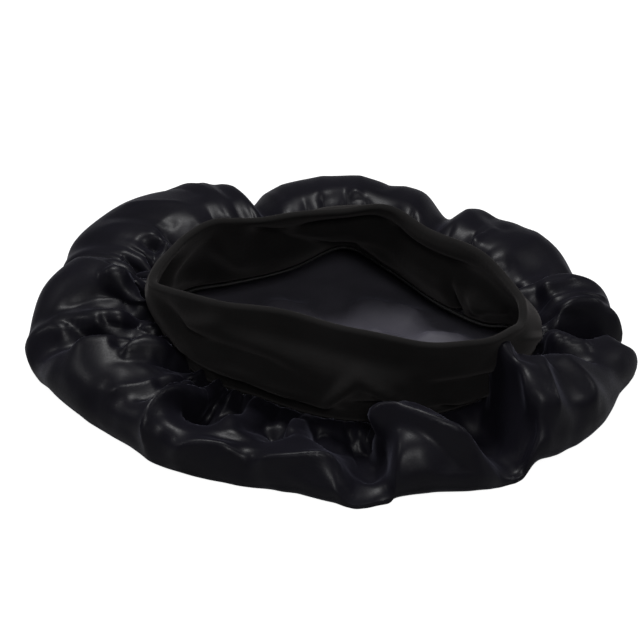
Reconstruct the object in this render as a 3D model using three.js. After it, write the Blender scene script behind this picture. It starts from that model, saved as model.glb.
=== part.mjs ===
// Sleep bonnet lying crown down with its opening up: a puffy satin crown, a wide soft headband and the
// overlocked seam that gathers one into the other. Millimetres, +Z up, with the origin on the surface that
// the bonnet lies on. Angles are degrees, anticlockwise from +X seen from above.
import * as THREE from "three";

// Driving dimensions
const bandThickness = 3; // two layers of jersey, folded over at the rim
const crownThickness = 2;
const seamWidth = 4.4; // the overlocked edge, across and upright
const seamHeight = 3;
const seamDrop = 3.4; // from the band's lower edge down to the middle of the overlocked edge
const crownStandOff = 4; // from the middle of the band's lower edge out to the crown's gathered edge
const edgeRoll = 0.8; // how far the crown's outer roll reaches in under it, as a share of its height
const lipShare = 0.42; // height of the crown's widest line, as a share of the fold's crest
const swellAt = 0.45; // where along the rise to the crest a fold's swell is measured
const flatShares = [0.7, 0.36]; // rings on the crown's flat underside, as shares of its radius

const bandColumns = 72;
const wallSteps = 6; // up the headband's wall
const columnsPerFold = 2;
const riseSteps = 5; // from the gathered edge to the crest
const fallSteps = 4; // from the crest to the widest line
const rollSteps = 3; // round under the edge

const satin = new THREE.MeshStandardMaterial({ color: 0x18171d, roughness: 0.42, metalness: 0 });
const jersey = new THREE.MeshStandardMaterial({ color: 0x141313, roughness: 0.95, metalness: 0 });
const thread = new THREE.MeshStandardMaterial({ color: 0x0e0e10, roughness: 0.8, metalness: 0 });

// Turns a header and its rows into objects with named columns.
function table(columns, rows) {
  return rows.map((row) => Object.fromEntries(columns.map((name, i) => [name, row[i]])));
}

// The headband, a row for each upright section round it. The seam is its lower edge and the rim its upper
// one; low and high are how far the wall swells outwards a third and two thirds of the way up.
const bandSections = table(
  ["seamX", "seamY", "seamZ", "rimX", "rimY", "rimZ", "low", "high"],
  [
    [113, -8, 26, 105, -50, 62, 2, 3], // right-hand end
    [103, 3, 24, 102, -34, 64, 1, 4],
    [87, 10, 22, 86, -7, 66, -4, 5],
    [63, 37, 21, 58, 19, 69, -6, 4],
    [36, 68, 26, 34, 47, 74, -4, 3],
    [9, 91, 29, 6, 48, 71, -2, 2], // back
    [-24, 70, 25, -23, 42, 71, -3, 4],
    [-57, 57, 23, -48, 35, 72, 2, 0],
    [-82, 46, 24, -69, 27, 75, 3, 0],
    [-96, 28, 25, -86, 4, 72, 1, 2],
    [-98, 4, 26, -98, -31, 69, 1, 2], // left-hand end
    [-84, -28, 23, -86, -47, 72, 1, 3],
    [-69, -50, 20, -66, -62, 74, 2, 3],
    [-39, -67, 19, -42, -73, 75, 3, 3],
    [-12, -79, 16, -15, -80, 73, 4, 3], // front
    [14, -85, 15, 11, -87, 70, 5, 3],
    [41, -83, 15, 36, -91, 67, 4, 3],
    [68, -74, 16, 60, -92, 63, 2, 3],
    [92, -58, 18, 81, -85, 61, 2, 2],
    [107, -38, 22, 96, -73, 61, 2, 2],
    [114, -22, 25, 103, -62, 61, 2, 2],
  ],
);

// The crown, a row for each radial section, on a fold's ridge or in the valley beside it. seamAt and edgeAt
// are its angles at the headband and at the outer edge, reach is how far out it goes, swell is its height
// part of the way up, crest its greatest height and crestAt the crest's place between seam and edge.
const crownSections = table(
  ["seamAt", "edgeAt", "reach", "swell", "crest", "crestAt"],
  [
    [345, 353, 171, 31, 31, 0.5], // flap at the right-hand end
    [350, 357, 161, 16, 14, 0.5],
    [355, 361, 169, 33, 37, 0.5], // right-hand puff
    [361, 365, 166, 31, 38, 0.5],
    [367, 370, 166, 38, 46, 0.6],
    [373, 377, 159, 26, 35, 0.5],
    [381, 389, 162, 40, 50, 0.5], // broad puff, back right
    [389, 400, 161, 41, 51, 0.5],
    [396, 407, 160, 36, 49, 0.5],
    [404, 413, 160, 39, 50, 0.5],
    [412, 420, 154, 29, 37, 0.5],
    [420, 428, 165, 38, 49, 0.5], // back
    [430, 436, 169, 35, 49, 0.5],
    [439, 443, 171, 39, 51, 0.5],
    [446, 448, 171, 36, 51, 0.5],
    [453, 455, 170, 39, 50, 0.5],
    [459, 461, 169, 34, 47, 0.5],
    [464, 465, 167, 36, 44, 0.5],
    [469, 469, 163, 27, 35, 0.5],
    [474, 473, 180, 38, 48, 0.5], // gathered puff, back left
    [478, 477, 187, 34, 49, 0.5],
    [482, 482, 191, 39, 51, 0.5],
    [486, 487, 193, 33, 50, 0.5],
    [491, 495, 193, 40, 51, 0.5],
    [498, 502, 191, 33, 48, 0.5],
    [505, 509, 186, 37, 46, 0.5],
    [511, 513, 181, 30, 42, 0.5],
    [516, 517, 176, 34, 42, 0.5],
    [522, 520, 167, 27, 32, 0.5],
    [527, 523, 170, 43, 48, 0.5], // tall puff at the left-hand end
    [534, 531, 173, 45, 50, 0.5],
    [540, 540, 173, 34, 37, 0.5],
    [546, 545, 172, 34, 37, 0.5],
    [553, 549, 168, 18, 24, 0.6],
    [561, 556, 163, 33, 35, 0.6], // long puff, front left
    [570, 566, 155, 33, 34, 0.6],
    [579, 574, 149, 22, 26, 0.6],
    [586, 582, 147, 23, 30, 0.7], // ridge that curls round the front left pocket
    [593, 590, 147, 10, 27, 0.85],
    [603, 601, 144, 19, 22, 0.85], // front
    [613, 612, 141, 13, 22, 0.85],
    [622, 622, 143, 21, 26, 0.8],
    [631, 630, 149, 10, 22, 0.8],
    [637, 635, 152, 8, 9, 0.7], // spout at the front
    [642, 641, 150, 11, 12, 0.7],
    [647, 646, 151, 30, 36, 0.6], // tall lobe, front right
    [654, 654, 155, 34, 41, 0.6],
    [661, 661, 159, 22, 34, 0.7],
    [669, 667, 161, 9, 12, 0.8],
    [674, 670, 162, 32, 50, 0.32], // fold that climbs the headband
    [679, 676, 164, 34, 51, 0.32],
    [686, 683, 166, 35, 46, 0.36],
    [693, 692, 168, 33, 39, 0.42],
    [699, 703, 169, 28, 31, 0.5],
  ],
);

const radians = THREE.MathUtils.degToRad;
const lerp = THREE.MathUtils.lerp;

// A closed smooth curve through one point for each section.
function ring(sections, point) {
  return new THREE.CatmullRomCurve3(sections.map(point), true, "centripetal");
}

const seamRing = ring(bandSections, (s) => new THREE.Vector3(s.seamX, s.seamY, s.seamZ));
const rimRing = ring(bandSections, (s) => new THREE.Vector3(s.rimX, s.rimY, s.rimZ));
const swellRing = ring(bandSections, (s) => new THREE.Vector3(s.low, s.high, 0));

// The seam ring's radius and height at an angle, found between two of its closely spaced points.
const seamPoints = seamRing.getPoints(720).map((p) => ({
  angle: (THREE.MathUtils.radToDeg(Math.atan2(p.y, p.x)) + 360) % 360,
  radius: Math.hypot(p.x, p.y),
  z: p.z,
}));
seamPoints.sort((a, b) => a.angle - b.angle);

function seamAtAngle(angle) {
  const wanted = ((angle % 360) + 360) % 360;
  const after = seamPoints.findIndex((p) => p.angle >= wanted);
  const b = seamPoints[Math.max(after, 0)];
  const a = seamPoints[(Math.max(after, 0) + seamPoints.length - 1) % seamPoints.length];
  const share = (wanted - a.angle) / Math.max(b.angle - a.angle, 1e-6);
  return after > 0 ? { radius: lerp(a.radius, b.radius, share), z: lerp(a.z, b.z, share) } : b;
}

// A cubic from one height to another, with the slope at each end.
function rise(from, to, slopeFrom, slopeTo, t) {
  const t2 = t * t;
  const t3 = t2 * t;
  return (
    (2 * t3 - 3 * t2 + 1) * from + (t3 - 2 * t2 + t) * slopeFrom + (3 * t2 - 2 * t3) * to + (t3 - t2) * slopeTo
  );
}

// Height of a fold between the gathered edge (0) and its crest (1), through its swell.
function riseHeight(start, swell, crest, share) {
  const middleSlope = crest - start;
  return share < swellAt
    ? rise(start, swell, 2 * (swell - start) * swellAt, middleSlope * swellAt, share / swellAt)
    : rise(swell, crest, middleSlope * (1 - swellAt), 0, (share - swellAt) / (1 - swellAt));
}

// A section of the crown as [angle, radius, height] points, from the gathered edge over the fold, round
// the outer edge and in along the surface that it lies on.
function crownProfile(section) {
  const seam = seamAtAngle(section.seamAt);
  const start = seam.radius + crownStandOff;
  const crestRadius = lerp(start, section.reach, section.crestAt);
  const lip = section.crest * lipShare;
  const points = [];
  for (let i = 0; i <= riseSteps; i++) {
    const share = i / riseSteps;
    const z = riseHeight(seam.z, section.swell, section.crest, share);
    points.push([lerp(start, crestRadius, share), z]);
  }
  for (let i = 1; i <= fallSteps; i++) {
    const turn = (i / fallSteps) * (Math.PI / 2);
    const radius = lerp(crestRadius, section.reach, Math.sin(turn));
    points.push([radius, lerp(lip, section.crest, Math.cos(turn))]);
  }
  for (let i = 1; i <= rollSteps; i++) {
    const turn = (i / rollSteps) * (Math.PI / 2);
    const radius = section.reach - lip * edgeRoll * (1 - Math.cos(turn));
    points.push([radius, lip * (1 - Math.sin(turn))]);
  }
  const footRadius = section.reach - lip * edgeRoll;
  flatShares.forEach((share) => points.push([footRadius * share, 0]));
  const end = section.reach - start;
  return points.map(([radius, z]) => {
    const across = THREE.MathUtils.clamp((radius - start) / end, 0, 1);
    return [lerp(section.seamAt, section.edgeAt, across), radius, z];
  });
}

// The crown's outer surface as columns of points, smooth from section to section.
function crownColumns() {
  const profiles = crownSections.map(crownProfile);
  const count = crownSections.length;
  const columns = [];
  for (let k = 0; k < count * columnsPerFold; k++) {
    columns.push([]);
  }
  profiles[0].forEach((_, row) => {
    const line = new THREE.CatmullRomCurve3(
      profiles.map((profile) => {
        const [angle, radius, z] = profile[row];
        return new THREE.Vector3(radius * Math.cos(radians(angle)), radius * Math.sin(radians(angle)), z);
      }),
      true,
      "centripetal",
    );
    columns.forEach((column, k) => column.push(line.getPoint(k / (count * columnsPerFold))));
  });
  return columns;
}

// Outward unit normals of a sheet given as closed columns of points.
function sheetNormals(columns) {
  const count = columns.length;
  return columns.map((column, k) =>
    column.map((_, row) => {
      const next = columns[(k + 1) % count][row];
      const last = columns[(k + count - 1) % count][row];
      const up = column[Math.min(row + 1, column.length - 1)];
      const down = column[Math.max(row - 1, 0)];
      const along = new THREE.Vector3().subVectors(next, last);
      const across = new THREE.Vector3().subVectors(up, down);
      return across.cross(along).normalize();
    }),
  );
}

// A mesh geometry from a list of points and of triangles that index them.
function solidFrom(points, triangles) {
  const geometry = new THREE.BufferGeometry();
  geometry.setAttribute("position", new THREE.Float32BufferAttribute(points.flatMap((p) => [p.x, p.y, p.z]), 3));
  geometry.setIndex(triangles.flat());
  geometry.computeVertexNormals();
  return geometry;
}

// Two triangles for each cell of a grid of columns; closed in the second direction if wrap is true.
function gridTriangles(columnCount, rowCount, wrap, first = 0, flip = false) {
  const triangles = [];
  for (let k = 0; k < columnCount; k++) {
    for (let row = 0; row < (wrap ? rowCount : rowCount - 1); row++) {
      const a = first + k * rowCount + row;
      const b = first + ((k + 1) % columnCount) * rowCount + row;
      const c = first + ((k + 1) % columnCount) * rowCount + ((row + 1) % rowCount);
      const d = first + k * rowCount + ((row + 1) % rowCount);
      const cell = [
        [a, d, c],
        [a, c, b],
      ];
      cell.forEach((t) => triangles.push(flip ? [t[0], t[2], t[1]] : t));
    }
  }
  return triangles;
}

// The crown: an outer and an inner sheet, joined along the gathered edge and closed at the middle of the
// underside, so that it is one hollow bag with one mouth.
function crownGeometry() {
  const outer = crownColumns();
  const normals = sheetNormals(outer);
  const inner = outer.map((column, k) =>
    column.map((p, row) => {
      const q = p.clone().addScaledVector(normals[k][row], -crownThickness);
      const flat = p.z < 0.01;
      return flat ? new THREE.Vector3(q.x, q.y, crownThickness) : q;
    }),
  );
  const columnCount = outer.length;
  const rowCount = outer[0].length;
  const points = [...outer.flat(), ...inner.flat()];
  const innerFirst = columnCount * rowCount;
  const triangles = [
    ...gridTriangles(columnCount, rowCount, false, 0, false),
    ...gridTriangles(columnCount, rowCount, false, innerFirst, true),
  ];
  const outerMiddle = points.push(new THREE.Vector3(0, 0, 0)) - 1;
  const innerMiddle = points.push(new THREE.Vector3(0, 0, crownThickness)) - 1;
  for (let k = 0; k < columnCount; k++) {
    const a = k * rowCount;
    const b = ((k + 1) % columnCount) * rowCount;
    const last = rowCount - 1;
    triangles.push([a, b, innerFirst + b], [a, innerFirst + b, innerFirst + a]);
    triangles.push([a + last, outerMiddle, b + last]);
    triangles.push([innerFirst + a + last, innerFirst + b + last, innerMiddle]);
  }
  return solidFrom(points, triangles);
}

// The headband: a closed strip round each section, up its outer face, over the rim and down the inner one.
function headbandGeometry() {
  const half = bandThickness / 2;
  const middle = [];
  for (let k = 0; k < bandColumns; k++) {
    const t = k / bandColumns;
    const seam = seamRing.getPoint(t);
    const rim = rimRing.getPoint(t);
    const swell = swellRing.getPoint(t);
    const tangent = seamRing.getTangent(t).add(rimRing.getTangent(t));
    const outwards = new THREE.Vector3(tangent.y, -tangent.x, 0).normalize();
    const column = [];
    for (let i = 0; i <= wallSteps; i++) {
      const share = i / wallSteps;
      const lowWeight = Math.sin(Math.PI * share) ** 2 * (1 - share) * 2;
      const highWeight = Math.sin(Math.PI * share) ** 2 * share * 2;
      const swellOut = swell.x * lowWeight + swell.y * highWeight;
      column.push(seam.clone().lerp(rim, share).addScaledVector(outwards, swellOut));
    }
    middle.push(column);
  }
  const normals = sheetNormals(middle).map((column) => column.map((n) => n.negate()));
  const points = middle.flatMap((column, k) => {
    const outer = column.map((p, i) => p.clone().addScaledVector(normals[k][i], half));
    const inner = column.map((p, i) => p.clone().addScaledVector(normals[k][i], -half)).reverse();
    const last = column.length - 1;
    const rise = new THREE.Vector3().subVectors(column[last], column[last - 1]).setLength(half);
    const top = column[last].clone().add(rise);
    return [...outer, top, ...inner];
  });
  const rowCount = 2 * (wallSteps + 1) + 1;
  return solidFrom(points, gridTriangles(bandColumns, rowCount, true, 0, true));
}

// The overlocked edge: a flattened cord under the headband's lower edge, where the crown is gathered in.
function gatherSeamGeometry() {
  const corners = 6;
  const points = [];
  for (let k = 0; k < bandColumns; k++) {
    const t = k / bandColumns;
    const centre = seamRing.getPoint(t);
    const tangent = seamRing.getTangent(t);
    const outwards = new THREE.Vector3(tangent.y, -tangent.x, 0).normalize();
    for (let i = 0; i < corners; i++) {
      const turn = (i / corners) * 2 * Math.PI;
      const p = centre.clone().addScaledVector(outwards, (Math.cos(turn) * seamWidth) / 2);
      p.z += (Math.sin(turn) * seamHeight) / 2 - seamDrop;
      points.push(p);
    }
  }
  return solidFrom(points, gridTriangles(bandColumns, corners, true, 0, true));
}

function piece(name, geometry, material) {
  const mesh = new THREE.Mesh(geometry, material);
  mesh.name = name;
  return mesh;
}

const bonnet = new THREE.Group();
bonnet.add(piece("crown", crownGeometry(), satin));
bonnet.add(piece("headband", headbandGeometry(), jersey));
bonnet.add(piece("gather_seam", gatherSeamGeometry(), thread));

// The sections are measured from the middle of the headband's opening; the origin is under the middle of
// the whole bonnet.
const middle = new THREE.Box3().setFromObject(bonnet).getCenter(new THREE.Vector3());
bonnet.position.set(-middle.x, -middle.y, 0);

export default bonnet;
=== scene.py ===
# Sleep bonnet lying crown down with its opening up: a satin crown, a wide folded jersey headband and the
# overlocked seam that gathers the one into the other.
from math import pi, radians

import bpy
import numpy as np
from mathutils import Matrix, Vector


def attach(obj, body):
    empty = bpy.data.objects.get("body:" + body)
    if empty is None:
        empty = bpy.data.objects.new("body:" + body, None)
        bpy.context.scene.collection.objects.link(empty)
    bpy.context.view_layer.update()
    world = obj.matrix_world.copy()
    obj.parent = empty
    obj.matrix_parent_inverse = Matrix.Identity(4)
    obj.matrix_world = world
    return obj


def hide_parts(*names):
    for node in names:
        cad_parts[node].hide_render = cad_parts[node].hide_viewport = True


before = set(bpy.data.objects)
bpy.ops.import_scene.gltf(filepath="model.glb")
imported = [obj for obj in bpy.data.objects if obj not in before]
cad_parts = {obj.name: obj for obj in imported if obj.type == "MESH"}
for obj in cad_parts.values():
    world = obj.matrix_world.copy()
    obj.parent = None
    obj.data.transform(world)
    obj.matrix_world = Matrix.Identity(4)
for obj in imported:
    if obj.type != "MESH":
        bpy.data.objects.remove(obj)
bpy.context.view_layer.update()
print("frame loaded")

mm = 0.001
# the section tables are measured from the middle of the headband's opening
tableShift = np.array([1.637, -9.737, 0.0])


def tableOf(columns, rows):
    values = np.array(rows, dtype=float)
    return {name: values[:, i] for i, name in enumerate(columns)}


def aroundRing(values, at, turn=0.0):
    # smooth closed interpolation; turn is what the value gains in going once round
    count = len(values)
    i = np.floor(at).astype(int)
    t = at - i

    def pick(k):
        return values[k % count] + turn * np.floor_divide(k, count)

    a, b, c, d = pick(i - 1), pick(i), pick(i + 1), pick(i + 2)
    return 0.5 * (2 * b + (c - a) * t + (2 * a - 5 * b + 4 * c - d) * t**2 + (3 * b - a - 3 * c + d) * t**3)


def lerp(a, b, t):
    return a + (b - a) * t


def smoothstep(low, high, x):
    t = np.clip((x - low) / (high - low), 0, 1)
    return t * t * (3 - 2 * t)


def gridNormals(points):
    # points is [around, along, xyz], closed in the first direction
    along = np.roll(points, -1, 0) - np.roll(points, 1, 0)
    across = np.gradient(points, axis=1)
    normals = np.cross(across, along)
    return normals / np.maximum(np.linalg.norm(normals, axis=2, keepdims=True), 1e-9)


noiseGain = 1.8  # brings the blended knots back to about -1 to 1


def smoothNoise(seed, around, along, cellsAround, cellsAlong, shape):
    # smooth random field, closed in the first direction, in about -1 to 1
    rng = np.random.default_rng(seed)
    knots = rng.uniform(-1, 1, (cellsAround, cellsAlong + 3))
    u = around * cellsAround
    v = along * cellsAlong + 1
    iu, iv = np.floor(u).astype(int), np.clip(np.floor(v).astype(int), 1, cellsAlong)
    tu, tv = u - iu, v - iv

    def weights(t):
        return [
            (1 - t) ** 3 / 6,
            (3 * t**3 - 6 * t**2 + 4) / 6,
            (-3 * t**3 + 3 * t**2 + 3 * t + 1) / 6,
            t**3 / 6,
        ]

    total = np.zeros(shape)
    for j, wu in enumerate(weights(tu)):
        for k, wv in enumerate(weights(tv)):
            total += wu * wv * knots[(iu + j - 1) % cellsAround, np.clip(iv + k - 1, 0, cellsAlong + 2)]
    return total * noiseGain


# how a fold line is laid: points tried along it, share of its length over which each end fades, and how
# rounded its top is as a share of its width
foldLine = {
    "steps": 70,
    "fade": 0.25,
    "round": 0.3,
}


def foldLines(points, table, mask):
    # heights that ridges (+) and creases (-) along curved lines in plan add to a grid of points
    xy = points[..., :2]
    added = np.zeros(points.shape[:2])
    steps = np.linspace(0, 1, foldLine["steps"])
    fade, rounding = foldLine["fade"], foldLine["round"]
    for fromX, fromY, toX, toY, bend, height, width in table:
        a, b = np.array([fromX, fromY]), np.array([toX, toY])
        side = np.array([a[1] - b[1], b[0] - a[0]]) / max(np.linalg.norm(b - a), 1e-6)
        middle = (a + b) / 2 + side * bend * 2
        best = np.full(added.shape, 1e9)
        share = np.zeros(added.shape)
        for s in steps:
            p = (1 - s) ** 2 * a + 2 * s * (1 - s) * middle + s**2 * b
            d = np.hypot(xy[..., 0] - p[0], xy[..., 1] - p[1])
            nearer = d < best
            best = np.where(nearer, d, best)
            share = np.where(nearer, s, share)
        taper = smoothstep(0, fade, share) * smoothstep(0, fade, 1 - share)
        profile = np.exp(rounding - np.sqrt((best / width) ** 2 + rounding**2))
        added += height * taper * profile * mask
    return added


def meshFromGrid(name, points, pole, uv):
    # closed round the first direction; a pole, where there is one, closes the last row
    columns, rows = points.shape[:2]
    verts = points.reshape(-1, 3)
    k = np.arange(columns)[:, None]
    i = np.arange(rows - 1)[None, :]
    a = k * rows + i
    b = ((k + 1) % columns) * rows + i
    faces = np.stack([a, a + 1, b + 1, b], -1).reshape(-1, 4).tolist()
    if pole is not None:
        verts = np.vstack([verts, pole[None]])
        last = len(verts) - 1
        for c in range(columns):
            faces.append([c * rows + rows - 1, last, ((c + 1) % columns) * rows + rows - 1])
    mesh = bpy.data.meshes.new(name)
    mesh.from_pydata(verts.tolist(), [], faces)
    flat = uv.reshape(-1, 2)
    if pole is not None:
        flat = np.vstack([flat, [[0.0, 0.0]]])
    layer = mesh.uv_layers.new(name="cut")
    index = np.zeros(len(mesh.loops), dtype=np.int32)
    mesh.loops.foreach_get("vertex_index", index)
    layer.data.foreach_set("uv", flat[index].astype(np.float32).ravel())
    mesh.polygons.foreach_set("use_smooth", [True] * len(mesh.polygons))
    mesh.update()
    piece = bpy.data.objects.new(name, mesh)
    bpy.context.scene.collection.objects.link(piece)
    return piece


def applied(piece, name):
    # the evaluated mesh, with the modifiers removed
    graph = bpy.context.evaluated_depsgraph_get()
    mesh = bpy.data.meshes.new_from_object(piece.evaluated_get(graph))
    mesh.name = name
    piece.modifiers.clear()
    piece.data = mesh
    return piece


band = {
    "girth": 560.0,
    "wall": 60.0,
    "cloth": 0.9,
    "gap": 1.5,  # between the middle of the fold and each layer
    "columns": 504,
    "wallRows": 22,
    "rimRows": 6,
    "rimRise": 1.5,  # how much further than round the fold at the rim stands
    "rimWaves": [(5, 0.9, 0), (11, 0.5, 1)],  # how many round it, mm high, phase
    "parting": 0.5,  # how far the layers part between seam and rim, as a share of the gap
    "ripple": 0.35,
    "edgeRoll": 1.1,
    "edgeRollFade": 9,
}

bandSections = tableOf(
    ["seamX", "seamY", "seamZ", "rimX", "rimY", "rimZ", "low", "high"],
    [
        [113, -8, 26, 105, -50, 62, 2, 3],  # right-hand end
        [103, 3, 24, 102, -34, 64, 1, 4],
        [87, 10, 22, 85, 1, 68, -4, 5],
        [63, 37, 21, 58, 27, 70, -6, 4],
        [36, 68, 26, 34, 47, 74, -4, 3],
        [9, 91, 29, 6, 48, 71, -2, 2],  # back
        [-24, 70, 25, -23, 42, 71, -3, 4],
        [-57, 57, 23, -48, 35, 72, 2, 0],
        [-82, 46, 24, -69, 27, 75, 3, 0],
        [-96, 28, 25, -86, 4, 72, 1, 2],
        [-98, 4, 26, -98, -31, 69, 1, 2],  # left-hand end
        [-84, -28, 23, -86, -47, 72, 1, 3],
        [-69, -50, 20, -66, -62, 74, 2, 3],
        [-39, -67, 19, -42, -73, 75, 3, 3],
        [-12, -79, 16, -15, -80, 73, 4, 3],  # front
        [14, -85, 15, 11, -87, 70, 5, 3],
        [41, -83, 15, 36, -91, 67, 4, 3],
        [68, -74, 16, 60, -92, 63, 2, 3],
        [92, -58, 18, 81, -85, 61, 2, 2],
        [107, -38, 22, 96, -73, 61, 2, 2],
        [114, -22, 25, 103, -62, 61, 2, 2],
    ],
)


def bandRing(share, names):
    at = np.asarray(share) * len(bandSections["seamX"])
    return np.stack([aroundRing(bandSections[name], at) for name in names], -1)


ringCount = 1440
ringShares = np.arange(ringCount) / ringCount
ringPoints = bandRing(ringShares, ["seamX", "seamY", "seamZ"])
ringAngles = np.degrees(np.arctan2(ringPoints[:, 1], ringPoints[:, 0])) % 360
ringOrder = np.argsort(ringAngles)


def seamAtAngle(angle):
    radius = np.hypot(ringPoints[:, 0], ringPoints[:, 1])
    wanted = np.asarray(angle) % 360
    known = ringAngles[ringOrder]
    return (
        np.interp(wanted, known, radius[ringOrder], period=360),
        np.interp(wanted, known, ringPoints[ringOrder, 2], period=360),
    )


crown = {
    "cloth": 0.7,
    "standOff": 1.6,  # from the middle of the band's lower edge out to the gathered edge
    "tuck": 2.2,  # how far below the band's lower edge the gathered edge sits
    "edgeRoll": 0.8,
    "lipShare": 0.42,
    "swellAt": 0.45,
    "columnsPerSection": 11,
    "riseRows": 36,
    "fallRows": 18,
    "rollRows": 7,
    "floorRows": 20,
    "finePleats": 104,
    "finePleat": 1.7,  # mm high at the seam
    "broadPleats": 47,
    "broadPleat": 3.3,
    "fineFade": 11,  # mm of cloth from the seam over which the fine gathers fade
    "broadFade": 32,
    "ripple": 0.25,
    "calming": 0.95,
    "backFrom": -20,  # mm in plan where the back half begins, and where it is reached
    "backTo": 40,
    "topClear": 3.4,  # mm that the cloth on top stays above the table as it is laid out
    "topBlend": 1.2,
    "settledClear": 2.4,  # and once it has settled
    "floorLift": 0.8,
    "cutRadius": 250.0,
}

crownSections = tableOf(
    ["seamAt", "edgeAt", "reach", "swell", "crest", "crestAt"],
    [
        [345, 353, 175, 31, 29, 0.5],  # flap at the right-hand end
        [350, 357, 161, 16, 14, 0.5],
        [355, 361, 169, 33, 37, 0.5],  # right-hand puff
        [361, 365, 166, 31, 38, 0.5],
        [367, 370, 166, 38, 46, 0.6],
        [373, 377, 159, 26, 35, 0.5],
        [381, 389, 162, 40, 50, 0.5],  # broad puff, back right
        [389, 400, 161, 41, 51, 0.5],
        [396, 407, 160, 36, 49, 0.5],
        [404, 413, 160, 39, 50, 0.5],
        [412, 420, 154, 29, 37, 0.5],
        [420, 428, 165, 38, 49, 0.5],  # back
        [430, 436, 169, 35, 49, 0.5],
        [439, 443, 171, 39, 51, 0.5],
        [446, 448, 171, 36, 51, 0.5],
        [453, 455, 170, 39, 50, 0.5],
        [459, 461, 169, 34, 47, 0.5],
        [464, 465, 167, 36, 44, 0.5],
        [469, 469, 163, 27, 35, 0.5],
        [474, 473, 180, 38, 48, 0.5],  # gathered puff, back left
        [478, 477, 187, 34, 49, 0.5],
        [482, 482, 191, 39, 51, 0.5],
        [486, 487, 193, 33, 50, 0.5],
        [491, 495, 193, 40, 51, 0.5],
        [498, 502, 191, 33, 48, 0.5],
        [505, 509, 186, 37, 46, 0.5],
        [511, 513, 181, 30, 42, 0.5],
        [516, 517, 176, 34, 42, 0.5],
        [522, 520, 167, 27, 32, 0.5],
        [527, 523, 170, 43, 48, 0.5],  # tall puff at the left-hand end
        [534, 531, 173, 45, 50, 0.5],
        [540, 540, 173, 34, 37, 0.5],
        [546, 545, 172, 34, 37, 0.5],
        [553, 549, 168, 18, 24, 0.6],
        [561, 556, 163, 33, 35, 0.6],  # long puff, front left
        [570, 566, 155, 33, 34, 0.6],
        [579, 574, 149, 22, 26, 0.6],
        [586, 582, 147, 23, 30, 0.7],  # ridge that curls round the front left pocket
        [593, 590, 147, 10, 27, 0.85],
        [603, 601, 144, 19, 22, 0.85],  # front
        [613, 612, 141, 13, 22, 0.85],
        [622, 622, 143, 21, 26, 0.8],
        [631, 630, 149, 10, 22, 0.8],
        [637, 635, 152, 8, 9, 0.7],  # spout at the front
        [642, 641, 150, 11, 12, 0.7],
        [645, 644, 151, 31, 37, 0.6],  # tall lobe, front right
        [652, 652, 155, 35, 42, 0.6],
        [657, 659, 160, 21, 33, 0.7],
        [666, 665, 160, 6, 9, 0.8],
        [676, 669, 161, 6, 10, 0.8],
        [682, 673, 162, 34, 52, 0.28],  # fold that climbs the headband
        [686, 678, 164, 33, 47, 0.30],
        [690, 684, 166, 29, 40, 0.36],
        [695, 692, 168, 32, 39, 0.42],
        [699, 703, 169, 28, 31, 0.5],
    ],
)

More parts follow.
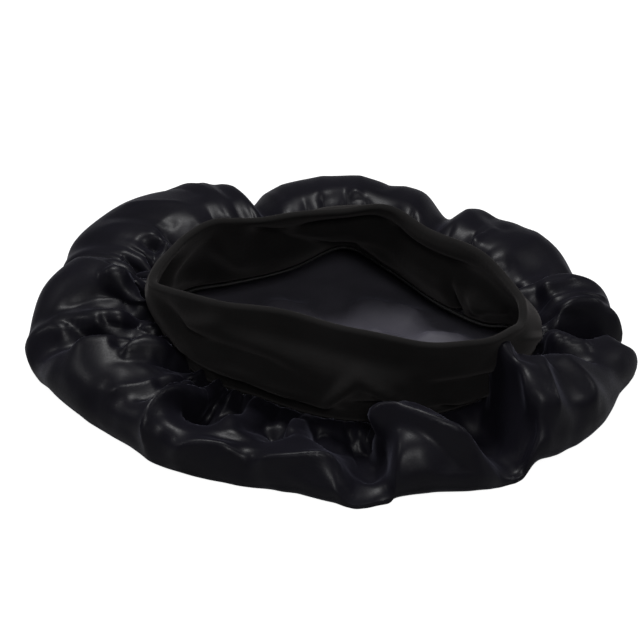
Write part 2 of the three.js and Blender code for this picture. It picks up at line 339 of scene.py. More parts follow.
# ridges and creases on top of the folds: from and to in plan, how far the line bows to its left, how much
# higher it stands and how wide it is, all in mm
crownFolds = [
    # right-hand end
    [116, -32, 168, -20, 4, 6, 3],
    [118, -27, 160, -12, 3, -7.5, 4],
    [118, 4, 166, 20, -5, 6, 4],
    [122, -14, 160, 2, 3, 4.5, 3],
    # broad puff, back right
    [108, 66, 98, 108, 3, -9, 4],
    [118, 56, 124, 92, -4, 4.5, 4],
    [100, 64, 82, 116, 2, 6, 4],
    [128, 40, 146, 56, 3, 4.5, 5],
    # back
    [30, 122, 40, 160, -2, -7.5, 3.5],
    [36, 118, 50, 158, -3, 4.5, 4],
    [-6, 118, 0, 164, 4, 6, 5],
    [14, 118, 18, 162, -4, 6, 5],
    [-28, 118, -44, 158, -3, -7.5, 4],
    [-20, 118, -30, 162, 3, 6, 5],
    # gathered puff, back left
    [-52, 112, -64, 166, 2, 6, 4],
    [-58, 112, -74, 164, 3, -7.5, 4],
    [-62, 108, -84, 168, 3, 7.5, 4],
    [-72, 112, -100, 158, -5, 7.5, 3],
    [-78, 112, -112, 154, -5, -10.5, 5],
    [-82, 104, -132, 122, 4, 10.5, 3.5],
    [-90, 86, -142, 108, 3, -7.5, 5],
    [-96, 72, -144, 92, -3, 6, 4],
    [-98, 66, -126, 76, 2, -9, 4],
    [-104, 52, -142, 76, -4, 6, 4],
    # left-hand end
    [-104, 30, -146, 68, -5, -9, 4],
    [-106, 16, -156, 48, 6, 6, 5],
    [-106, 4, -158, -2, -5, -6, 3.5],
    [-108, -8, -162, -16, 5, 6, 5],
    [-98, -26, -158, -8, 6, -9, 4],
    [-100, -34, -148, -40, 5, 6, 6],
    # front left
    [-80, -56, -128, -72, 12, 6, 6],
    [-72, -66, -110, -86, 5, -4.5, 5],
    [-64, -70, -97, -124, -10, 10.5, 3],
    [-97, -124, -44, -131, 6, 6, 3],
    [-44, -131, 8, -138, -3, 6, 3],
    # front
    [-34, -90, -30, -120, 2, -6, 4],
    [-58, -92, -52, -120, 3, 4.5, 8],
    [14, -96, 18, -140, 5, -7.5, 5],
    # front right
    [20, -104, 82, -134, -10, 9, 3.5],
    [26, -120, 84, -146, -4, -4.5, 6],
    [86, -68, 104, -118, 5, 7, 3.5],
    [100, -72, 108, -124, -4, -7.5, 5],
    [112, -66, 122, -118, -4, 7.5, 6],
    [120, -60, 146, -96, 3, 4.5, 8],
    # pleats that run out of the seam, left to front
    [-86, 70, -112, 92, 2, -6, 2.4],
    [-92, 62, -120, 78, -2, 5, 2.4],
    [-98, 48, -130, 58, 3, -6, 2.6],
    [-100, 38, -136, 44, -3, 5, 2.4],
    [-102, 24, -132, 28, 3, -6, 2.6],
    [-104, 12, -134, 12, -3, 5, 2.4],
    [-102, -10, -134, -14, 3, -5, 2.6],
    [-100, -18, -132, -26, -2, 5, 2.4],
    [-94, -34, -124, -46, 3, -6, 2.6],
    [-90, -42, -116, -58, -3, 5, 2.4],
    [-78, -58, -98, -76, 4, -5, 2.4],
    [-72, -64, -90, -84, -4, 5, 2.4],
    [-66, -70, -82, -92, 4, -5, 2.4],
    [-20, -88, -24, -112, 2, 4, 2.6],
    [-4, -90, -4, -118, -2, -5, 2.6],
    [22, -94, 26, -124, 3, 5, 2.6],
    # right and back right
    [118, 12, 146, 22, -3, 5, 2.4],
    [114, 20, 140, 34, 3, -6, 2.4],
    [108, 28, 134, 46, -3, 5, 2.6],
    [120, -22, 150, -24, 3, -6, 2.6],
    [122, -30, 148, -38, -3, 5, 2.6],
    [118, -42, 146, -54, 3, -5, 2.6],
    [84, 52, 104, 74, 3, 5, 2.6],
    [76, 60, 92, 84, -3, -6, 2.6],
    [58, 78, 70, 104, 3, 5, 2.6],
    [46, 88, 54, 114, -3, -6, 2.6],
]

# soft rises in the crown where it lies flat, seen through the opening
floorFolds = [
    [-70, 22, -26, -26, 6, 9, 7],
    [-34, 38, 48, 16, -8, 11, 6],
    [44, 14, 92, 2, 6, 8, 7],
    [6, 58, 62, 34, 6, 8, 7],
    [-44, 54, -6, 44, 5, 7, 7],
    [-24, -4, 40, -30, -6, 7, 8],
    [40, -12, 84, -28, 5, 6, 8],
]


def crownSurface():
    s = crownSections
    count = len(s["reach"]) * crown["columnsPerSection"]
    at = np.arange(count) / crown["columnsPerSection"]
    seamAt = aroundRing(s["seamAt"], at, 360)
    edgeAt = aroundRing(s["edgeAt"], at, 360)
    reach, swell, crest, crestAt = (aroundRing(s[n], at) for n in ("reach", "swell", "crest", "crestAt"))
    seamRadius, seamZ = seamAtAngle(seamAt)
    start = seamRadius + crown["standOff"]
    startZ = seamZ - crown["tuck"]
    crestRadius = lerp(start, reach, crestAt)
    lip = crest * crown["lipShare"]
    columns = []  # radius and height rows

    swellAt = crown["swellAt"]
    for share in np.linspace(0, 1, crown["riseRows"]):
        slope = crest - startZ
        if share < swellAt:
            z = hermite(
                startZ, swell, 2 * (swell - startZ) * swellAt, slope * swellAt, share / swellAt
            )
        else:
            z = hermite(swell, crest, slope * (1 - swellAt), 0, (share - swellAt) / (1 - swellAt))
        columns.append((lerp(start, crestRadius, share), z))
    for turn in np.linspace(0, pi / 2, crown["fallRows"] + 1)[1:]:
        columns.append((lerp(crestRadius, reach, np.sin(turn)), lerp(lip, crest, np.cos(turn))))
    for turn in np.linspace(0, pi / 2, crown["rollRows"] + 1)[1:]:
        columns.append((reach - lip * crown["edgeRoll"] * (1 - np.cos(turn)), lip * (1 - np.sin(turn))))
    foot = reach - lip * crown["edgeRoll"]
    for share in np.linspace(1, 0.02, crown["floorRows"] + 1)[1:]:
        columns.append((foot * share, np.zeros(count)))
    radius = np.stack([c[0] for c in columns], 1)
    height = np.stack([c[1] for c in columns], 1)
    across = np.clip((radius - start[:, None]) / (reach - start)[:, None], 0, 1)
    angle = np.radians(lerp(seamAt[:, None], edgeAt[:, None], across))
    points = np.stack([radius * np.cos(angle), radius * np.sin(angle), height], -1)
    topRows = crown["riseRows"] + crown["fallRows"]
    return points, topRows, at / len(s["reach"])


def hermite(a, b, slopeA, slopeB, t):
    t2, t3 = t * t, t**3
    fromA = (2 * t3 - 3 * t2 + 1) * a + (t3 - 2 * t2 + t) * slopeA
    return fromA + (3 * t2 - 2 * t3) * b + (t3 - t2) * slopeB


# where a tall fold pulls the gathers out flat: place in plan and size, in mm
calmPlaces = [[96, -86, 30], [52, -112, 24], [118, -62, 16]]


def pleatWave(turns):
    # round ridges with sharp valleys between them, from -1 to 1
    return 2 * np.abs(np.sin(pi * turns)) - 1


def makeCrown():
    points, topRows, around = crownSurface()
    columns, rows = points.shape[:2]
    # length of cloth from the gathered edge, in mm
    along = np.zeros((columns, rows))
    along[:, 1:] = np.cumsum(np.linalg.norm(np.diff(points, axis=1), axis=2), 1)
    row = np.arange(rows)[None, :] * np.ones((columns, 1))
    u = np.broadcast_to(around[:, None], along.shape)

    topMask = smoothstep(0, 12, along) * (1 - smoothstep(topRows - 8, topRows + 2, row))
    normals = gridNormals(points)
    upish = normals + np.array([0, 0, 0.6])
    upish /= np.linalg.norm(upish, axis=2, keepdims=True)
    # folds run out near the crest at the back, where its line is smooth
    behind = smoothstep(crown["backFrom"], crown["backTo"], points[:, :1, 1])
    points[..., 2] *= 1 - 0.05 * behind
    crestShare = smoothstep(crown["riseRows"] - 12, crown["riseRows"] - 2, row)
    lifted = foldLines(points, crownFolds, topMask) * (1 - 0.85 * behind * crestShare)
    points = points + upish * lifted[..., None]

    # gathers: fine ones at the seam that run together into broader ones further out
    wander = smoothNoise(3, u, along / 90, 36, 3, along.shape)
    strength = 1 + 0.7 * smoothNoise(5, u, along / 90, 29, 2, along.shape)
    fine = pleatWave(crown["finePleats"] * u + 0.55 * wander) * np.exp(-along / crown["fineFade"])
    broad = pleatWave(crown["broadPleats"] * u + 0.7 * wander + 0.2)
    broad *= np.exp(-((along / crown["broadFade"]) ** 2))
    # the seam presses the cloth flat where it is caught
    fine *= smoothstep(0, 5, along) * 0.7 + 0.3
    broad *= smoothstep(0, 7, along) * 0.7 + 0.3
    pleats = strength * (crown["finePleat"] * fine + crown["broadPleat"] * broad)
    pleats *= 1 - smoothstep(topRows - 6, topRows, row)
    for x, y, size in calmPlaces:
        away = (points[..., 0] - x) ** 2 + (points[..., 1] - y) ** 2
        pleats *= 1 - crown["calming"] * np.exp(-away / size**2)
    left = smoothstep(30, -60, points[..., 0])
    pleats *= 1 + 0.5 * left
    # under the near side of the band the gathers are pressed flat
    pleats *= 1 - 0.6 * smoothstep(-50, -80, points[..., 1]) * (1 - smoothstep(8, 24, along))
    # small unevenness all over the puffs
    ripple = crown["ripple"] * smoothNoise(11, u, along / 120, 90, 8, along.shape) * topMask
    normals = gridNormals(points)
    points = points + normals * (pleats + ripple)[..., None]

    # however deep a crease is, the cloth on top stays clear of the cloth beneath
    topZ = points[..., 2]
    clear, blend = crown["topClear"], crown["topBlend"]
    kept = clear + np.logaddexp(0, (topZ - clear) / blend) * blend
    points[..., 2] = np.where(row <= topRows, kept, topZ)

    # the flat underside lifts a little where the cloth is slack
    flat = smoothstep(topRows + crown["rollRows"] + 1, topRows + crown["rollRows"] + 8, row)
    reachIn = np.hypot(points[..., 0], points[..., 1])
    slack = 1 + smoothNoise(21, u, np.clip((along - 90) / 160, 0, 1), 14, 5, along.shape)
    lift = flat * crown["floorLift"] * slack * smoothstep(0, 60, reachIn)
    rise = foldLines(points, floorFolds, flat) + lift
    points[..., 2] += np.clip(rise, 0, None) * (1 - smoothstep(78, 98, reachIn) * flat)
    points[..., 2] = np.maximum(points[..., 2], 0)

    total = along[:, -1:]
    cutRadius = (1 - along / (total + 3)) * crown["cutRadius"]
    cutAngle = 2 * pi * u
    cut = np.stack([cutRadius * np.cos(cutAngle), cutRadius * np.sin(cutAngle)], -1) * mm
    pole = np.array([0, 0, points[:, -1, 2].mean()])
    return meshFromGrid("crown_satin", (points + tableShift) * mm, (pole + tableShift) * mm, cut)


# how the cloth settles: hold is how strongly it keeps to the shape that the tables give
crownCloth = {
    "frames": 22,
    "slack": 0.07,  # extra cloth, as a share of its length
    "hold": 0.25,
    "seamRows": 7,  # rows over which the hold eases off from the seam
    "crestHold": 0.75,
    "crestRows": 7,
    "holdStiffness": 0.35,
    "bending": 2.5,
    "weight": 0.15,
    "tension": 12.0,
    "gravity": 0.3,
    "smoothing": 5,
    "gain": 1.4,
    "furthest": 8.0,  # mm that a point may move
}


def settleCrown(piece):
    # a cloth simulation that starts on the authored folds and buckles the slack between them
    mesh = piece.data
    count = len(mesh.vertices)
    start = np.zeros(count * 3)
    mesh.vertices.foreach_get("co", start)
    start = start.reshape(-1, 3)
    topRows = crown["riseRows"] + crown["fallRows"]
    rollEnd = topRows + crown["rollRows"]
    rows = rollEnd + crown["floorRows"]
    row = np.append(np.tile(np.arange(rows), (count - 1) // rows), rows)
    hold = np.full(count, crownCloth["hold"])
    seamRows = crownCloth["seamRows"]
    eased = lerp(1.0, crownCloth["hold"], np.clip((row - 1) / (seamRows - 1), 0, 1))
    hold = np.where(row < seamRows, eased, hold)
    hold = np.where(row > topRows, np.maximum(hold, (row - topRows) / crown["rollRows"]), hold)
    crestRow = crown["riseRows"]
    hold += crownCloth["crestHold"] * np.exp(-(((row - crestRow) / crownCloth["crestRows"]) ** 2))
    behind = smoothstep(crown["backFrom"], crown["backTo"], start[:, 1] / mm)
    hold += behind * smoothstep(crestRow - 8, crestRow, row)
    hold = np.clip(hold, 0, 1)
    pins = piece.vertex_groups.new(name="hold")
    levels = np.round(hold, 3)
    for level in np.unique(levels):
        pins.add(np.flatnonzero(levels == level).tolist(), float(level), "REPLACE")
    cloth = piece.modifiers.new("settle", "CLOTH")
    cloth.point_cache.frame_start = 1
    cloth.point_cache.frame_end = crownCloth["frames"] + 1
    sets = cloth.settings
    sets.quality = 5
    sets.mass = crownCloth["weight"]
    sets.tension_stiffness = sets.compression_stiffness = crownCloth["tension"]
    sets.shear_stiffness = crownCloth["tension"] / 2
    sets.bending_stiffness = crownCloth["bending"]
    sets.air_damping = 2
    sets.vertex_group_mass = "hold"
    sets.pin_stiffness = crownCloth["holdStiffness"]
    sets.shrink_min = -crownCloth["slack"]
    sets.effector_weights.gravity = crownCloth["gravity"]
    cloth.collision_settings.use_collision = False
    cloth.collision_settings.use_self_collision = False
    for step in range(1, crownCloth["frames"] + 1):
        bpy.context.scene.frame_set(step)
    applied(piece, "crown_satin")
    bpy.context.scene.frame_set(1)
    settled = np.zeros(count * 3)
    piece.data.vertices.foreach_get("co", settled)
    moved = settled.reshape(-1, 3) - start
    # threads spread a crumple over several millimetres, so the movement is evened out with its neighbours
    sheet = moved[:-1].reshape(-1, rows, 3)
    for _ in range(crownCloth["smoothing"]):
        sheet = (np.roll(sheet, 1, 0) + 2 * sheet + np.roll(sheet, -1, 0)) / 4
        sheet[:, 1:-1] = (sheet[:, :-2] + 2 * sheet[:, 1:-1] + sheet[:, 2:]) / 4
    moved[:-1] = sheet.reshape(-1, 3) * crownCloth["gain"]
    far = np.linalg.norm(moved, axis=1, keepdims=True)
    limit = crownCloth["furthest"] * mm
    moved *= np.minimum(1, limit / np.maximum(far, 1e-9))
    settled = start + moved
    least = np.where(row < topRows, crown["settledClear"] * mm, 0)
    settled[:, 2] = np.maximum(settled[:, 2], least)
    piece.data.vertices.foreach_set("co", settled.ravel())
    piece.vertex_groups.clear()
    piece.data.update()
    print("crown settled, mean move mm", round(float(far.mean() / mm), 2))


def thickened(piece, thickness, inside):
    solid = piece.modifiers.new("cloth", "SOLIDIFY")
    solid.thickness = thickness * mm
    solid.offset = -1
    solid.use_even_offset = False
    solid.use_quality_normals = True
    solid.material_offset = inside
    solid.material_offset_rim = inside
    return applied(piece, piece.name)


# soft folds in the headband's layers: where round it (0 to 1), how far up (0 seam to 1 rim), the same at the
# other end, height out of the wall and width, in mm
bandFoldsOut = [
    [0.52, 0.42, 0.72, 0.22, 6.5, 3.6],
    [0.685, 0.22, 0.72, 0.58, 5.5, 3],
    [0.72, 0.58, 0.79, 0.20, 5.5, 3],
    [0.78, 0.30, 0.87, 0.16, 5.0, 3.5],
    [0.60, 0.72, 0.68, 0.55, 1.6, 6],
    [0.90, 0.9, 0.97, 0.3, 2.0, 5],
]
bandFoldsIn = [
    [0.20, 0.62, 0.28, 0.58, 2.5, 4],
    [0.05, 0.35, 0.10, 0.22, 3.0, 4],
    [0.40, 0.8, 0.45, 0.2, 2.0, 6],
    [0.44, 0.35, 0.36, 0.10, 2.6, 5],
    [0.23, 0.36, 0.17, 0.12, 2.6, 5],
]
# these take both layers with them, outwards where the height is positive
bandFoldsBoth = [
    [0.34, 1.0, 0.25, 0.18, 6.5, 7],
    [0.38, 0.90, 0.31, 0.12, -5.0, 8],
    [0.18, 0.78, 0.29, 0.72, 6.0, 6],
    [0.18, 0.48, 0.28, 0.44, -4.5, 7],
    [0.09, 0.60, 0.19, 0.66, 5.5, 8],
    [0.09, 0.88, 0.19, 0.90, -3.0, 5],
    [0.115, -0.2, 0.125, 0.55, 4.5, 3],
    [0.09, 0.10, 0.10, 0.45, -3.5, 4],
    [0.42, 0.95, 0.47, 0.15, 3.5, 7],
    [0.50, 0.88, 0.60, 0.32, -4.5, 6],
    [0.54, 0.55, 0.60, 0.90, 2.5, 7],
    [0.53, 0.62, 0.68, 0.46, -4.0, 5],
    [0.60, 0.84, 0.80, 0.74, -3.0, 5],
    [0.70, 0.24, 0.755, 0.24, -4.0, 4],
    [0.76, 0.55, 0.88, 0.36, -4.0, 6],
    [0.70, 0.58, 0.78, 0.50, 2.5, 6],
]


def wallFolds(table, around, up):
    # heights on the headband's wall, at places given by shares round it and up it
    length, wall = band["girth"], band["wall"]
    added = np.zeros(np.broadcast(around, up).shape)
    for fromAround, fromUp, toAround, toUp, height, width in table:
        a = np.array([fromAround * length, fromUp * wall])
        b = np.array([toAround * length, toUp * wall])
        p = np.stack(np.broadcast_arrays(around * length, up * wall), -1)
        t = np.clip(((p - a) @ (b - a)) / ((b - a) @ (b - a)), 0, 1)
        d = np.linalg.norm(p - (a + t[..., None] * (b - a)), axis=-1)
        ends = smoothstep(0, 0.35, t) * smoothstep(0, 0.35, 1 - t) * 0.8 + 0.2
        added += height * ends * np.exp(-((d / width) ** 2))
    return added


def makeHeadband():
    columns, wallRows, rimRows = band["columns"], band["wallRows"], band["rimRows"]
    share = np.arange(columns) / columns
    seam = bandRing(share, ["seamX", "seamY", "seamZ"])
    rim = bandRing(share, ["rimX", "rimY", "rimZ"])
    swell = bandRing(share, ["low", "high"])
    for waves, high, phase in band["rimWaves"]:
        rim[:, 2] += high * np.sin(2 * pi * waves * share + phase)
    tangent = np.roll(seam + rim, -1, 0) - np.roll(seam + rim, 1, 0)
    outwards = np.stack([tangent[:, 1], -tangent[:, 0], 0 * tangent[:, 0]], -1)
    outwards /= np.linalg.norm(outwards, axis=1, keepdims=True)

    up = np.linspace(0, 1, wallRows)
    s2 = np.sin(pi * up) ** 2
    swellOut = swell[:, :1] * (s2 * (1 - up) * 2) + swell[:, 1:] * (s2 * up * 2)
    middle = seam[:, None] + (rim - seam)[:, None] * up[None, :, None]
    middle += outwards[:, None] * swellOut[..., None]
    normals = -gridNormals(middle)
    half = band["gap"]
    around = share[:, None]
    # the layers part a little between the seam and the rim
    aroundGrid, upGrid = np.broadcast_arrays(around, up[None, :])
    middleMask = np.sin(pi * up)[None, :]
    shape = aroundGrid.shape
    part = 1 + band["parting"] * middleMask * (1 + smoothNoise(31, aroundGrid, upGrid, 13, 2, shape))
    ripple = band["ripple"] * smoothNoise(33, aroundGrid, upGrid, 40, 4, shape)
    ripple = ripple * np.clip(middleMask, 0, 1) ** 0.5
    middle = middle + normals * wallFolds(bandFoldsBoth, around, up[None, :])[..., None]
    foldsOut = wallFolds(bandFoldsOut, around, up[None, :])
    foldsIn = wallFolds(bandFoldsIn, around, up[None, :])
    outer = middle + normals * (half * part + ripple + foldsOut)[..., None]
    inner = middle - normals * (half * part - ripple + foldsIn)[..., None]
    rise = middle[:, -1] - middle[:, -2]
    rise /= np.linalg.norm(rise, axis=1, keepdims=True)
    overRim = []
    centre = (outer[:, -1] + inner[:, -1]) / 2
    reach = (outer[:, -1] - inner[:, -1]) / 2
    for turn in np.linspace(0, pi, rimRows + 2)[1:-1]:
        overRim.append(centre + reach * np.cos(turn) + rise * (np.sin(turn) * band["rimRise"]))
    strip = np.concatenate([outer, np.stack(overRim, 1), inner[:, ::-1]], 1)
    # the lower edge of the outer layer rolls out a little over the gathers
    roll = np.exp(-up * band["edgeRollFade"]) * band["edgeRoll"]
    strip[:, :wallRows] += outwards[:, None] * roll[None, :, None]
    along = np.zeros(strip.shape[:2])
    along[:, 1:] = np.cumsum(np.linalg.norm(np.diff(strip, axis=1), axis=2), 1)
    cut = np.stack([share[:, None] * (band["girth"] * mm) * np.ones_like(along), along * mm], -1)
    return meshFromGrid("headband_jersey", (strip + tableShift) * mm, None, cut)


# the overlocked edge: a roll of the two cloths' raw edges with a looped thread round it
overlock = {
    "drop": 3.4,  # from the band's lower edge down to the middle of the roll
    "width": 3.0,
    "height": 2.0,
    "thread": 0.22,  # radius of the thread
    "threadSides": 4,
    "loopSides": 9,
    "rollSides": 10,
    "roll": 0.44,  # radius of the roll as a share of a loop's width and height
    "pathPoints": 900,
    "spacing": 1.9,
    "lean": 0.35,  # most that a loop leans, in radians
    "seed": 7,
}


def loopedThread(name, path, sizes):
    # a Geometry Nodes tree that sets loops of thread along a closed path, over a roll of cloth
    mesh = bpy.data.meshes.new(name + "Path")
    count = len(path)
    edges = [(i, (i + 1) % count) for i in range(count)]
    mesh.from_pydata((path * mm).tolist(), edges, [])
    piece = bpy.data.objects.new(name, mesh)
    bpy.context.scene.collection.objects.link(piece)

    tree = bpy.data.node_groups.new(name + "Loops", "GeometryNodeTree")
    face = tree.interface
    face.new_socket("Path", in_out="INPUT", socket_type="NodeSocketGeometry")
    inputs = {}
    for label in ("Spacing", "Loop width", "Loop height", "Thread radius", "Lean"):
        inputs[label] = face.new_socket(label, in_out="INPUT", socket_type="NodeSocketFloat").identifier
    inputs["Seed"] = face.new_socket("Seed", in_out="INPUT", socket_type="NodeSocketInt").identifier
    cloth = face.new_socket("Material", in_out="INPUT", socket_type="NodeSocketMaterial")
    inputs["Material"] = cloth.identifier
    face.new_socket("Seam", in_out="OUTPUT", socket_type="NodeSocketGeometry")
    nodes, links = tree.nodes, tree.links
    given = nodes.new("NodeGroupInput")
    result = nodes.new("NodeGroupOutput")

    curve = nodes.new("GeometryNodeMeshToCurve")
    links.new(given.outputs["Path"], curve.inputs["Mesh"])
    places = nodes.new("GeometryNodeResampleCurve")
    places.mode = "LENGTH"
    links.new(curve.outputs["Curve"], places.inputs["Curve"])
    links.new(given.outputs["Spacing"], places.inputs["Length"])

    # one loop: a ring of thread standing across the path
    ring = nodes.new("GeometryNodeCurvePrimitiveCircle")
    ring.inputs["Resolution"].default_value = sizes["loopSides"]
    ring.inputs["Radius"].default_value = 0.5
    shape = nodes.new("ShaderNodeCombineXYZ")
    shape.inputs["X"].default_value = 1
    links.new(given.outputs["Loop width"], shape.inputs["Y"])
    links.new(given.outputs["Loop height"], shape.inputs["Z"])
    stand = nodes.new("GeometryNodeTransform")
    stand.inputs["Rotation"].default_value = (0, pi / 2, 0)
    links.new(ring.outputs["Curve"], stand.inputs["Geometry"])
    stretch = nodes.new("GeometryNodeTransform")
    links.new(stand.outputs["Geometry"], stretch.inputs["Geometry"])
    links.new(shape.outputs["Vector"], stretch.inputs["Scale"])
    strand = nodes.new("GeometryNodeCurvePrimitiveCircle")
    strand.inputs["Resolution"].default_value = sizes["threadSides"]
    links.new(given.outputs["Thread radius"], strand.inputs["Radius"])
    loop = nodes.new("GeometryNodeCurveToMesh")
    links.new(stretch.outputs["Geometry"], loop.inputs["Curve"])
    links.new(strand.outputs["Curve"], loop.inputs["Profile Curve"])

    tangent = nodes.new("GeometryNodeInputTangent")
    turned = nodes.new("FunctionNodeAlignRotationToVector")
    turned.axis = "X"
    turned.pivot_axis = "Z"
    links.new(tangent.outputs["Tangent"], turned.inputs["Vector"])
    lean = nodes.new("FunctionNodeRandomValue")
    lean.data_type = "FLOAT"
    minus = nodes.new("ShaderNodeMath")
    minus.operation = "MULTIPLY"
    minus.inputs[1].default_value = -1
    links.new(given.outputs["Lean"], minus.inputs[0])
    links.new(minus.outputs["Value"], lean.inputs[2])
    links.new(given.outputs["Lean"], lean.inputs[3])
    links.new(given.outputs["Seed"], lean.inputs["Seed"])
    leanTurn = nodes.new("ShaderNodeCombineXYZ")
    links.new(lean.outputs[1], leanTurn.inputs["Z"])
    loops = nodes.new("GeometryNodeInstanceOnPoints")
    links.new(places.outputs["Curve"], loops.inputs["Points"])
    links.new(loop.outputs["Mesh"], loops.inputs["Instance"])
    links.new(turned.outputs["Rotation"], loops.inputs["Rotation"])
    leaned = nodes.new("GeometryNodeRotateInstances")
    links.new(loops.outputs["Instances"], leaned.inputs["Instances"])
    links.new(leanTurn.outputs["Vector"], leaned.inputs["Rotation"])

    joined = nodes.new("GeometryNodeJoinGeometry")
    links.new(leaned.outputs["Instances"], joined.inputs["Geometry"])
    upright = nodes.new("GeometryNodeSetCurveNormal")
    upright.mode = "Z_UP"
    links.new(places.outputs["Curve"], upright.inputs["Curve"])
    outline = nodes.new("GeometryNodeCurvePrimitiveCircle")
    outline.inputs["Resolution"].default_value = sizes["rollSides"]
    outline.inputs["Radius"].default_value = sizes["roll"]
    flat = nodes.new("ShaderNodeCombineXYZ")
    links.new(given.outputs["Loop width"], flat.inputs["X"])
    links.new(given.outputs["Loop height"], flat.inputs["Y"])
    flat.inputs["Z"].default_value = 1
    oval = nodes.new("GeometryNodeTransform")
    links.new(outline.outputs["Curve"], oval.inputs["Geometry"])
    links.new(flat.outputs["Vector"], oval.inputs["Scale"])
    roll = nodes.new("GeometryNodeCurveToMesh")
    links.new(upright.outputs["Curve"], roll.inputs["Curve"])
    links.new(oval.outputs["Geometry"], roll.inputs["Profile Curve"])
    links.new(roll.outputs["Mesh"], joined.inputs["Geometry"])
    real = nodes.new("GeometryNodeRealizeInstances")
    links.new(joined.outputs["Geometry"], real.inputs["Geometry"])
    painted = nodes.new("GeometryNodeSetMaterial")
    links.new(real.outputs["Geometry"], painted.inputs["Geometry"])
    links.new(given.outputs["Material"], painted.inputs["Material"])
    links.new(painted.outputs["Geometry"], result.inputs["Seam"])

    made = piece.modifiers.new("loops", "NODES")
    made.node_group = tree
    made[inputs["Spacing"]] = sizes["spacing"] * mm
    made[inputs["Loop width"]] = sizes["width"] * mm
    made[inputs["Loop height"]] = sizes["height"] * mm
    made[inputs["Thread radius"]] = sizes["thread"] * mm
    made[inputs["Lean"]] = sizes["lean"]
    made[inputs["Seed"]] = sizes["seed"]
    made[inputs["Material"]] = threadMaterial()
    applied(piece, name)
    mesh = piece.data
    mesh.polygons.foreach_set("use_smooth", [True] * len(mesh.polygons))
    return piece


def newMaterial(name):
    material = bpy.data.materials.new(name)
    material.use_nodes = True
    nodes = material.node_tree.nodes
    shader = next(n for n in nodes if n.type == "BSDF_PRINCIPLED")
    return material, nodes, material.node_tree.links, shader


def noiseNode(nodes, links, source, scale, detail, roughness):
    noise = nodes.new("ShaderNodeTexNoise")
    noise.inputs["Scale"].default_value = scale
    noise.inputs["Detail"].default_value = detail
    noise.inputs["Roughness"].default_value = roughness
    links.new(source, noise.inputs["Vector"])
    return noise


def weaveHeight(nodes, links, uvSource, warp, weft):
    # crossing threads: a wave along each direction of the cut, warp and weft in threads per metre
    height = None
    for direction, scale in (("X", warp), ("Y", weft)):
        wave = nodes.new("ShaderNodeTexWave")
        wave.wave_type = "BANDS"
        wave.bands_direction = direction
        wave.inputs["Scale"].default_value = scale / 10
        wave.inputs["Distortion"].default_value = 0.8
        wave.inputs["Detail"].default_value = 1
        links.new(uvSource, wave.inputs["Vector"])
        if height is None:
            height = wave.outputs["Fac"]
        else:
            add = nodes.new("ShaderNodeMath")
            add.operation = "ADD"
            links.new(height, add.inputs[0])
            links.new(wave.outputs["Fac"], add.inputs[1])
            height = add.outputs[0]
    return height


satin = {
    "dark": (0.0042, 0.0039, 0.0062, 1),
    "light": (0.0072, 0.0067, 0.0104, 1),
    "roughness": (0.34, 0.56),
    "weave": 0.010,
    "specular": 0.13,
    "anisotropic": 0.3,
    "sheen": 0.06,
    "coat": 0.11,
    "coatRoughness": 0.30,
    "coatIor": 1.4,
}
satinBack = {
    "dark": (0.050, 0.048, 0.060, 1),
    "light": (0.072, 0.069, 0.086, 1),
    "roughness": (0.5, 0.65),
    "weave": 0.015,
    "specular": 0.2,
    "anisotropic": 0.0,
    "sheen": 0.1,
    "coat": 0.0,
    "coatRoughness": 0.30,
    "coatIor": 1.4,
}
jersey = {
    "dark": (0.0030, 0.0027, 0.0027, 1),
    "light": (0.0062, 0.0056, 0.0056, 1),
    "roughness": 0.9,
    "specular": 0.2,
    "sheen": 0.06,
    "fuzz": 0.4,  # mm deep
    "knit": 0.04,
}
threadLook = {
    "dark": (0.004, 0.004, 0.0045, 1),
    "light": (0.012, 0.012, 0.013, 1),
    "roughness": 0.6,
    "twist": 0.2,  # mm deep
}
# the threads in a metre of each cloth, along it and across it
satinThreads = (2200, 1800)
jerseyStitches = (1100, 800)


def clothColour(nodes, links, factor, look, shader):
    ramp = nodes.new("ShaderNodeValToRGB")
    ramp.color_ramp.elements[0].position = 0.3
    ramp.color_ramp.elements[1].position = 0.7
    ramp.color_ramp.elements[0].color = look["dark"]
    ramp.color_ramp.elements[1].color = look["light"]
    links.new(factor, ramp.inputs["Fac"])
    links.new(ramp.outputs["Color"], shader.inputs["Base Color"])


def clothRoughness(nodes, links, factor, span, shader):
    spread = nodes.new("ShaderNodeMapRange")
    spread.inputs["From Min"].default_value = 0.3
    spread.inputs["From Max"].default_value = 0.7
    spread.inputs["To Min"].default_value = span[0]
    spread.inputs["To Max"].default_value = span[1]
    links.new(factor, spread.inputs["Value"])
    links.new(spread.outputs["Result"], shader.inputs["Roughness"])


def bump(nodes, links, height, strength, distance, shader, below=None):
    node = nodes.new("ShaderNodeBump")
    node.inputs["Strength"].default_value = strength
    node.inputs["Distance"].default_value = distance
    links.new(height, node.inputs["Height"])
    if below is not None:
        links.new(below.outputs["Normal"], node.inputs["Normal"])
    links.new(node.outputs["Normal"], shader.inputs["Normal"])
    return node


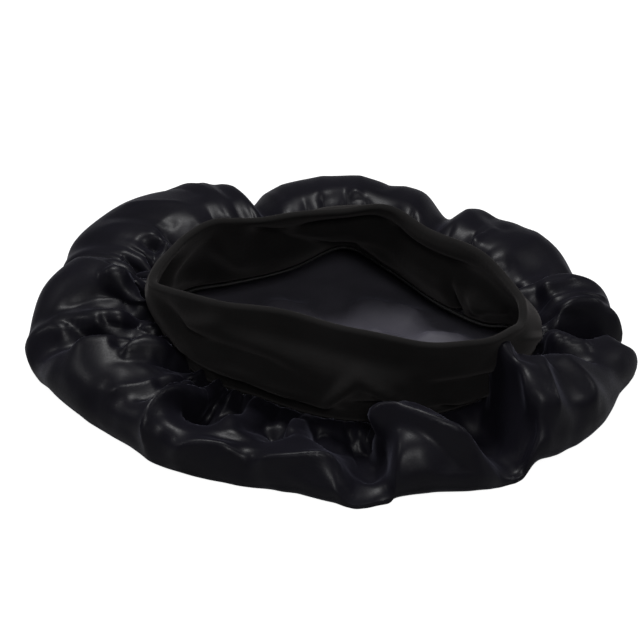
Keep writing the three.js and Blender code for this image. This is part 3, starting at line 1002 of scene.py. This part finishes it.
def satinMaterial(name, look):
    material, nodes, links, shader = newMaterial(name)
    coords = nodes.new("ShaderNodeTexCoord")
    uv = nodes.new("ShaderNodeUVMap")
    uv.uv_map = "cut"
    cloud = noiseNode(nodes, links, coords.outputs["Object"], 26, 4, 0.55)
    clothColour(nodes, links, cloud.outputs["Fac"], look, shader)
    grain = noiseNode(nodes, links, uv.outputs["UV"], 900, 3, 0.7)
    clothRoughness(nodes, links, grain.outputs["Fac"], look["roughness"], shader)
    shader.inputs["Specular IOR Level"].default_value = look["specular"]
    shader.inputs["Anisotropic"].default_value = look["anisotropic"]
    # the floats of the weave catch a second, tighter highlight
    shader.inputs["Coat Weight"].default_value = look["coat"]
    shader.inputs["Coat Roughness"].default_value = look["coatRoughness"]
    shader.inputs["Coat IOR"].default_value = look["coatIor"]
    shader.inputs["Sheen Weight"].default_value = look["sheen"]
    shader.inputs["Sheen Roughness"].default_value = 0.35
    shader.inputs["Sheen Tint"].default_value = (0.75, 0.75, 1.0, 1)
    creases = noiseNode(nodes, links, coords.outputs["Object"], 75, 5, 0.55)
    soft = bump(nodes, links, creases.outputs["Fac"], 0.28, 0.0009, shader)
    weave = weaveHeight(nodes, links, uv.outputs["UV"], *satinThreads)
    bump(nodes, links, weave, 0.5, look["weave"] * mm, shader, soft)
    return material


def jerseyMaterial():
    material, nodes, links, shader = newMaterial("blackJersey")
    coords = nodes.new("ShaderNodeTexCoord")
    uv = nodes.new("ShaderNodeUVMap")
    uv.uv_map = "cut"
    cloud = noiseNode(nodes, links, coords.outputs["Object"], 34, 4, 0.6)
    clothColour(nodes, links, cloud.outputs["Fac"], jersey, shader)
    shader.inputs["Roughness"].default_value = jersey["roughness"]
    shader.inputs["Specular IOR Level"].default_value = jersey["specular"]
    shader.inputs["Sheen Weight"].default_value = jersey["sheen"]
    shader.inputs["Sheen Roughness"].default_value = 0.5
    shader.inputs["Sheen Tint"].default_value = (1.0, 0.93, 0.93, 1)
    fuzz = noiseNode(nodes, links, uv.outputs["UV"], 900, 3, 0.7)
    soft = bump(nodes, links, fuzz.outputs["Fac"], 0.3, jersey["fuzz"] * mm, shader)
    knit = weaveHeight(nodes, links, uv.outputs["UV"], *jerseyStitches)
    bump(nodes, links, knit, 0.5, jersey["knit"] * mm, shader, soft)
    return material


def threadMaterial():
    material, nodes, links, shader = newMaterial("blackThread")
    coords = nodes.new("ShaderNodeTexCoord")
    twist = noiseNode(nodes, links, coords.outputs["Object"], 1400, 2, 0.5)
    clothColour(nodes, links, twist.outputs["Fac"], threadLook, shader)
    shader.inputs["Roughness"].default_value = threadLook["roughness"]
    bump(nodes, links, twist.outputs["Fac"], 0.4, threadLook["twist"] * mm, shader)
    return material


def floorMaterial():
    material, nodes, links, shader = newMaterial("paleFloor")
    shader.inputs["Base Color"].default_value = studio["floorColour"]
    shader.inputs["Roughness"].default_value = 0.8
    shader.inputs["Specular IOR Level"].default_value = 0.1
    shader.inputs["Emission Color"].default_value = (1, 1, 1, 1)
    # the floor glows for the camera alone, so that it looks pale and sends no extra light into the cloth
    path = nodes.new("ShaderNodeLightPath")
    glow = nodes.new("ShaderNodeMath")
    glow.operation = "MULTIPLY"
    glow.inputs[1].default_value = studio["floorGlow"]
    links.new(path.outputs["Is Camera Ray"], glow.inputs[0])
    links.new(glow.outputs[0], shader.inputs["Emission Strength"])
    return material


studio = {
    "floorColour": (0.3, 0.3, 0.3, 1),
    "floorGlow": 0.95,
    "floorHalf": 4.0,
    "floorDrop": 0.0004,  # keeps the floor from meeting the cloth that lies on it
    "world": 0.05,
    "lights": [
        # name, place, aim, size, watts
        ["overhead", (-0.15, 0.12, 1.25), (0, 0, 0), 0.42, 11.0],
        ["leftSoft", (-1.1, 0.0, 0.75), (0, 0, 0), 0.25, 1.5],
        ["rightSoft", (1.1, 0.1, 0.75), (0, 0, 0), 0.35, 2.2],
        ["frontSoft", (0.10, -1.15, 0.88), (0, 0, 0), 0.35, 5.8],
    ],
}
camera = {
    "elevation": 30.0,
    "distance": 1.15,
    "lens": 115.6,
    "sensor": 36,
    "target": (0.0016, -0.0437, 0.030),
    "right": -0.0056,
    "up": 0.0140,
}


def makeFloor():
    mesh = bpy.data.meshes.new("floor")
    half = studio["floorHalf"]
    corners = [(-half, -half, 0), (half, -half, 0), (half, half, 0), (-half, half, 0)]
    mesh.from_pydata(corners, [], [(0, 1, 2, 3)])
    floor = bpy.data.objects.new("floor", mesh)
    floor.location.z = -studio["floorDrop"]
    bpy.context.scene.collection.objects.link(floor)
    mesh.materials.append(floorMaterial())


def aimed(thing, place, aim):
    thing.location = place
    direction = Vector(aim) - Vector(place)
    thing.rotation_euler = direction.to_track_quat("-Z", "Y").to_euler()


def makeStudio():
    scene = bpy.context.scene
    for name, place, aim, size, watts in studio["lights"]:
        light = bpy.data.lights.new(name, "AREA")
        light.size = size
        light.energy = watts
        lamp = bpy.data.objects.new(name, light)
        scene.collection.objects.link(lamp)
        aimed(lamp, place, aim)
    world = bpy.data.worlds.new("studioWorld")
    world.use_nodes = True
    background = world.node_tree.nodes["Background"]
    background.inputs["Color"].default_value = (1, 1, 1, 1)
    background.inputs["Strength"].default_value = studio["world"]
    scene.world = world
    scene.view_settings.view_transform = "Standard"
    eye = bpy.data.cameras.new("camera")
    eye.lens = camera["lens"]
    eye.sensor_width = camera["sensor"]
    eye.clip_end = 20
    seat = bpy.data.objects.new("camera", eye)
    scene.collection.objects.link(seat)
    tilt = radians(camera["elevation"])
    upwards = Vector((0, np.sin(tilt), np.cos(tilt)))
    aim = Vector(camera["target"]) + Vector((camera["right"], 0, 0)) + upwards * camera["up"]
    place = aim + Vector((0, -np.cos(tilt), np.sin(tilt))) * camera["distance"]
    aimed(seat, place, aim)
    scene.camera = seat


makeStudio()
makeFloor()
print("studio made")

crownPiece = makeCrown()
for name, look in (("blackSatin", satin), ("satinReverse", satinBack)):
    crownPiece.data.materials.append(satinMaterial(name, look))
settleCrown(crownPiece)
thickened(crownPiece, crown["cloth"], 1)
print("crown made")

bandPiece = makeHeadband()
bandPiece.data.materials.append(jerseyMaterial())
thickened(bandPiece, band["cloth"], 0)
print("headband made")

seamShares = np.arange(overlock["pathPoints"]) / overlock["pathPoints"]
seamPath = bandRing(seamShares, ["seamX", "seamY", "seamZ"]) - [0, 0, overlock["drop"]]
seamPiece = loopedThread("gather_seam_overlock", seamPath + tableShift, overlock)
print("overlocked seam made", len(seamPiece.data.polygons))

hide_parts("crown")
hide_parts("headband")
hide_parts("gather_seam")
for piece in (crownPiece, bandPiece, seamPiece):
    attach(piece, "root")
